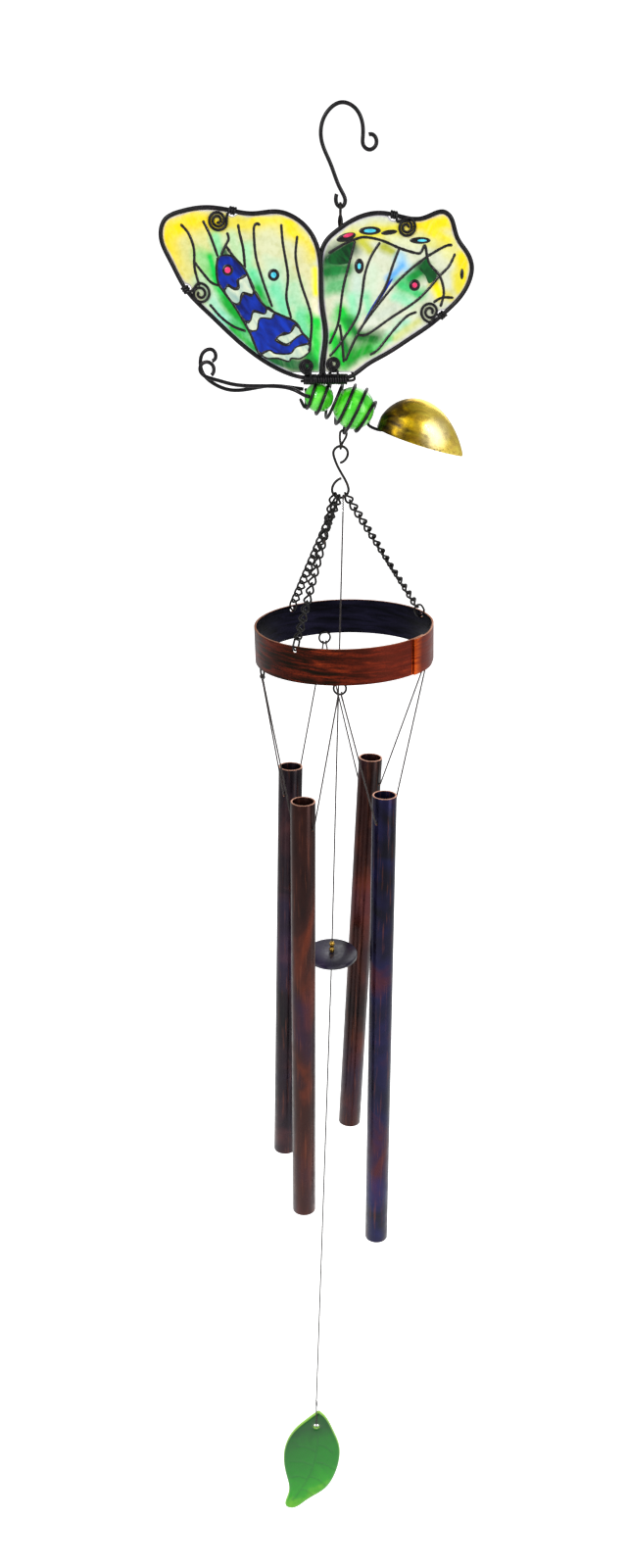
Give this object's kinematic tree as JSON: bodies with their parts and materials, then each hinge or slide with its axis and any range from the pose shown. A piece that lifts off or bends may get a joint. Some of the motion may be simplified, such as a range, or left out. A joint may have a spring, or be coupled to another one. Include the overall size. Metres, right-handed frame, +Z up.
{
  "type": "wind chime",
  "caption": "Hanging wind chime: wire hook, painted glass butterfly, chain-hung ring carrying metal tubes on cords around a striker disc, and a glass leaf on the tail cord.",
  "frame": {"origin": "where the hook rests on its carrier: the inside of the hook's arch, on the vertical line of hanging", "axes": "+Z up, +X towards the butterfly's tail, -Y towards the viewer who sees the painted faces"},
  "size_m": [0.1432, 0.09, 0.8326],
  "materials": {
    "hook_wire": "black glossy paint",
    "hanger_wire": "black paint, worn on the twist",
    "frame_wire": "black glossy paint",
    "body_wire": "black glossy paint",
    "chain_wire": "black paint",
    "left_wing_glass": "hand-painted translucent glass, yellow and green with a blue and white band",
    "right_wing_glass": "hand-painted translucent glass, green, white and yellow",
    "bead_glass": "lime green clear glass",
    "leaf_glass": "green fused glass, rounded edge",
    "tail_metal": "brushed gold-coloured sheet with dark patina at the body end",
    "ring_metal": "flame-coloured copper, darkened inside",
    "tube_front_left": "dark copper-brown coating, blue tint",
    "tube_front_right": "dark blue-violet coating",
    "tube_back_left": "dark violet-brown coating",
    "tube_back_right": "dark red-brown coating",
    "cord": "dark brown twisted cord",
    "crimp_metal": "polished",
    "striker": "dark violet-blue paint"
  },
  "bodies": {
    "hook": {"hanging_hook": "hook_wire"},
    "butterfly": {"hanger_wire": "hanger_wire", "left_wing_frame": "frame_wire", "left_wing_glass": "left_wing_glass", "right_wing_frame": "frame_wire", "right_wing_glass": "right_wing_glass", "left_root_clip": "frame_wire", "right_root_clip": "frame_wire", "left_top_clip": "frame_wire", "left_side_clip": "frame_wire", "right_top_clip": "frame_wire", "right_side_clip": "frame_wire", "root_binding": "frame_wire", "thorax_bead": "bead_glass", "abdomen_bead": "bead_glass", "body_coil": "body_wire", "front_antenna": "body_wire", "rear_antenna": "body_wire", "head_loop": "body_wire", "tail_shell": "tail_metal"},
    "link": {"hanging_link": "chain_wire"},
    "s_hook": {"s_hook": "chain_wire"},
    "ring_frame": {"chain_right": "chain_wire", "chain_back": "chain_wire", "chain_front": "chain_wire", "chain_end_links": "chain_wire", "ring_band": "ring_metal", "ring_eyelets": "chain_wire"},
    "striker_loop": {"striker_loop": "cord"},
    "striker_cord": {"striker_cord": "cord", "striker_crimp": "crimp_metal"},
    "striker": {"striker_disc": "striker"},
    "leaf_cord": {"leaf_cord": "cord"},
    "leaf_tie": {"leaf_tie": "cord"},
    "leaf": {"glass_leaf": "leaf_glass"},
    "cord_front_left": {"cord_front_left": "cord"},
    "tube_front_left": {"tube_front_left": "tube_front_left"},
    "cord_front_right": {"cord_front_right": "cord"},
    "tube_front_right": {"tube_front_right": "tube_front_right"},
    "cord_back_left": {"cord_back_left": "cord"},
    "tube_back_left": {"tube_back_left": "tube_back_left"},
    "cord_back_right": {"cord_back_right": "cord"},
    "tube_back_right": {"tube_back_right": "tube_back_right"}
  },
  "joints": [
    {"name": "butterfly_swing", "type": "hinge", "parent": "hook", "child": "butterfly", "pos_m": [-0.0002, 0, -0.0424], "axis": [1, 0, 0], "range_deg": [-25, 25]},
    {"name": "link_swing", "type": "hinge", "parent": "butterfly", "child": "link", "pos_m": [0.00212, 0, -0.14222], "axis": [1, 0, 0], "range_deg": [-15, 15]},
    {"name": "s_hook_swing", "type": "hinge", "parent": "link", "child": "s_hook", "pos_m": [0.0006, 0, -0.15085], "axis": [0, 1, 0], "range_deg": [-15, 15]},
    {"name": "ring_swing", "type": "hinge", "parent": "s_hook", "child": "ring_frame", "pos_m": [0.0006, 0, -0.1745], "axis": [1, 0, 0], "range_deg": [-2.5, 2.5]},
    {"name": "cord_swing_front_left", "type": "hinge", "parent": "ring_frame", "child": "cord_front_left", "pos_m": [-0.01911, -0.02867, -0.26086], "axis": [0.7877, -0.6157, 0.0212], "range_deg": [-12, 3]},
    {"name": "tube_swing_front_left", "type": "hinge", "parent": "cord_front_left", "child": "tube_front_left", "pos_m": [-0.0177, -0.0296, -0.336], "axis": [-0.7879, 0.6158, 0], "range_deg": [-2, 8]},
    {"name": "cord_swing_front_right", "type": "hinge", "parent": "ring_frame", "child": "cord_front_right", "pos_m": [0.02338, -0.01717, -0.25977], "axis": [-0.6492, -0.7604, -0.0172], "range_deg": [-3, 12]},
    {"name": "tube_swing_front_right", "type": "hinge", "parent": "cord_front_right", "child": "tube_front_right", "pos_m": [0.0241, -0.0152, -0.3385], "axis": [0.6493, 0.7605, 0], "range_deg": [-8, 2]},
    {"name": "cord_swing_back_left", "type": "hinge", "parent": "ring_frame", "child": "cord_back_left", "pos_m": [-0.02271, 0.01472, -0.26095], "axis": [-0.4923, -0.8704, -0.0131], "range_deg": [-12, 2]},
    {"name": "tube_swing_back_left", "type": "hinge", "parent": "cord_back_left", "child": "tube_back_left", "pos_m": [-0.02477, 0.0111, -0.333], "axis": [0.4921, 0.8705, -0.0095], "range_deg": [-2, 8]},
    {"name": "cord_swing_back_right", "type": "hinge", "parent": "ring_frame", "child": "cord_back_right", "pos_m": [0.01983, 0.02648, -0.25986], "axis": [0.8477, -0.5299, 0.0226], "range_deg": [-3, 12]},
    {"name": "tube_swing_back_right", "type": "hinge", "parent": "cord_back_right", "child": "tube_back_right", "pos_m": [0.01774, 0.0267, -0.33399], "axis": [-0.8471, 0.5304, 0.034], "range_deg": [-8, 2]},
    {"name": "striker_loop_swing", "type": "hinge", "parent": "s_hook", "child": "striker_loop", "pos_m": [0.00197, 0, -0.17426], "axis": [0, 1, 0], "range_deg": [-2.8, 1.5]},
    {"name": "striker_cord_swing", "type": "hinge", "parent": "striker_loop", "child": "striker_cord", "pos_m": [0.00197, 0, -0.1811], "axis": [1, 0, 0], "range_deg": [-3.2, 3.2]},
    {"name": "striker_tilt", "type": "hinge", "parent": "striker_cord", "child": "striker", "pos_m": [-0.0024, 0, -0.4253], "axis": [1, 0, 0], "range_deg": [-10, 10]},
    {"name": "leaf_cord_swing", "type": "hinge", "parent": "striker_cord", "child": "leaf_cord", "pos_m": [-0.00248, 0, -0.43], "axis": [0, 1, 0], "range_deg": [-6, 6]},
    {"name": "leaf_spin", "type": "hinge", "parent": "leaf_cord", "child": "leaf_tie", "pos_m": [-0.0106, 0, -0.7416], "axis": [0, 0, 1], "continuous": true},
    {"name": "leaf_swing", "type": "hinge", "parent": "leaf_tie", "child": "leaf", "pos_m": [-0.0106, 0, -0.7616], "axis": [0, 1, 0], "range_deg": [-25, 25]}
  ]
}
